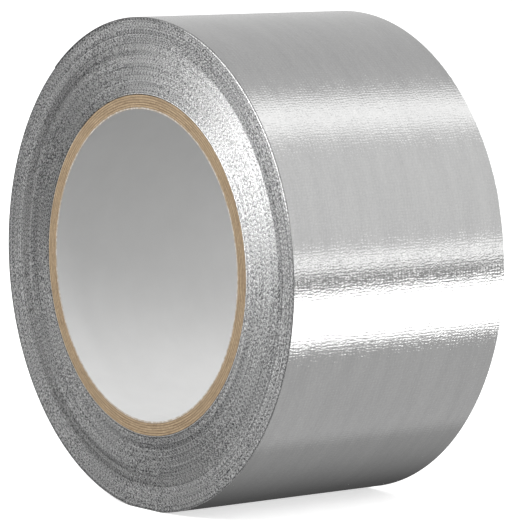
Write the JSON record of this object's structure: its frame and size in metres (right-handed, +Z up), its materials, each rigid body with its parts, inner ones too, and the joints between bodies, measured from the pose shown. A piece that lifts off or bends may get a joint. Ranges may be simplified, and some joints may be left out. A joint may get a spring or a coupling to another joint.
{
  "type": "duct tape roll",
  "caption": "Roll of silver cloth-backed duct tape wound on a paperboard core, standing on its edge, with a free end that peels up.",
  "frame": {"origin": "centre of the core's bore, halfway along it", "axes": "+Y along the bore, from the front side face to the back one; +Z up, the roll standing on its edge on a small settled flat; the free end lies on the upper side towards -X"},
  "size_m": [0.1207, 0.0636, 0.1204],
  "materials": {
    "liner_paper": "matt",
    "kraft_board": "matt, cut edge",
    "wound_tape": "satin slit edge, fine rings",
    "tape_film": "satin metallic silver, fine weave showing through",
    "tape_cloth": "open gauze",
    "tape_adhesive": "tacky, satin"
  },
  "bodies": {
    "roll": {"core_liner": "liner_paper", "core_ply_1": "kraft_board", "core_ply_2": "kraft_board", "core_ply_3": "kraft_board", "core_ply_4": "kraft_board", "core_ply_5": "kraft_board", "wound_tape": "wound_tape", "last_lap_adhesive": "tape_adhesive", "last_lap_cloth": "tape_cloth", "last_lap_film": "tape_film"},
    "free_end": {"free_end_adhesive": "tape_adhesive", "free_end_cloth": "tape_cloth", "free_end_film": "tape_film"}
  },
  "joints": [
    {"name": "peel_free_end", "type": "hinge", "parent": "roll", "child": "free_end", "pos_m": [-0.01601, 0, 0.0583], "axis": [0, 1, 0], "range_deg": [0, 150]}
  ]
}
